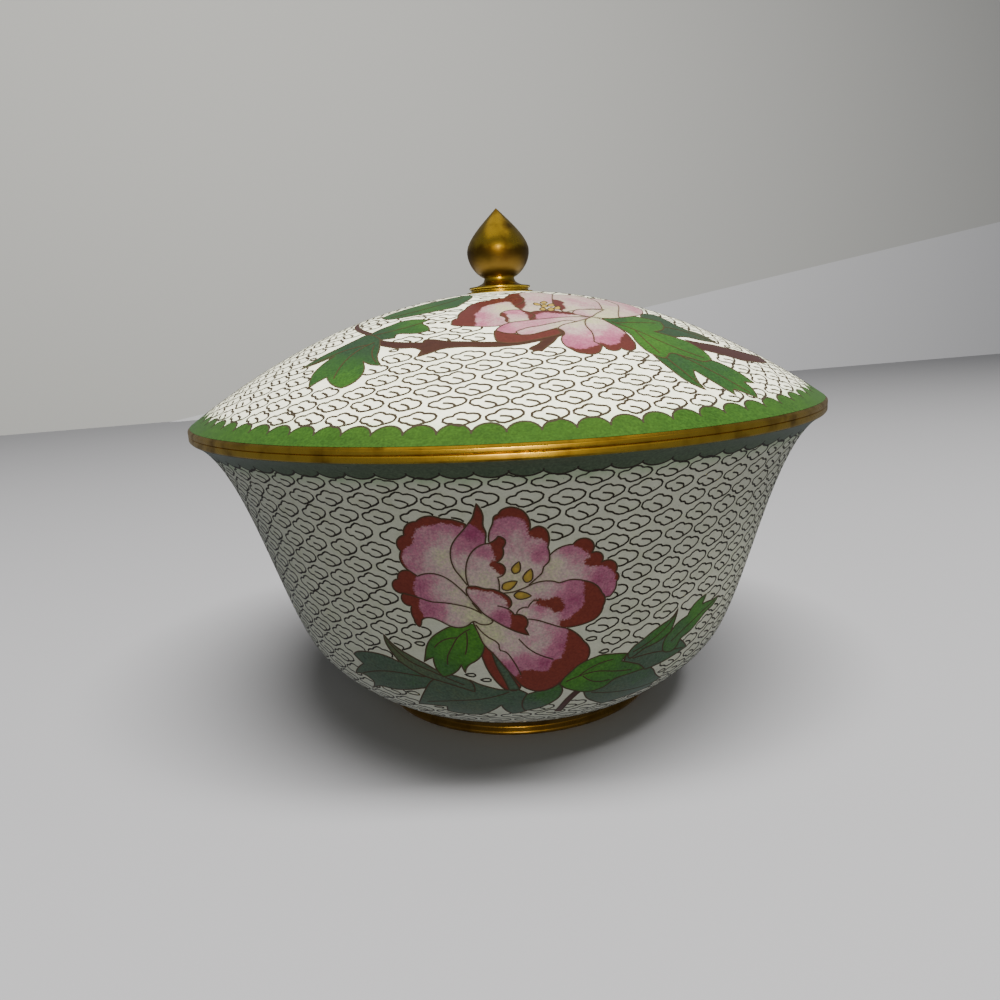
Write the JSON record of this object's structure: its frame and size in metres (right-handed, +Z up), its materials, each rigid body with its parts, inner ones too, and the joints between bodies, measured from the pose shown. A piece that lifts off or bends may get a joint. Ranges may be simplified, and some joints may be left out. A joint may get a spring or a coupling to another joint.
{
  "type": "cloisonne lidded bowl",
  "caption": "Round enamelled copper bowl with a flared rim, brass bands, a low foot, and a domed lift-off lid with a bud finial.",
  "frame": {"origin": "on the table, under the middle of the foot", "axes": "+Z up along the bowl's axis, -Y towards the side that shows the large flower"},
  "size_m": [0.152, 0.152, 0.1205],
  "materials": {
    "foot_brass": "aged satin",
    "bowl_enamel": "polished enamel on copper, with brass wires",
    "rim_brass": "aged satin",
    "lid_enamel": "polished enamel on copper, with brass wires",
    "finial_brass": "aged satin with brown tarnish"
  },
  "bodies": {
    "root": {"foot_ring": "foot_brass", "bowl_body": "bowl_enamel", "bowl_rim": "rim_brass", "lid_rim": "rim_brass", "lid_body": "lid_enamel", "finial": "finial_brass"}
  },
  "joints": []
}
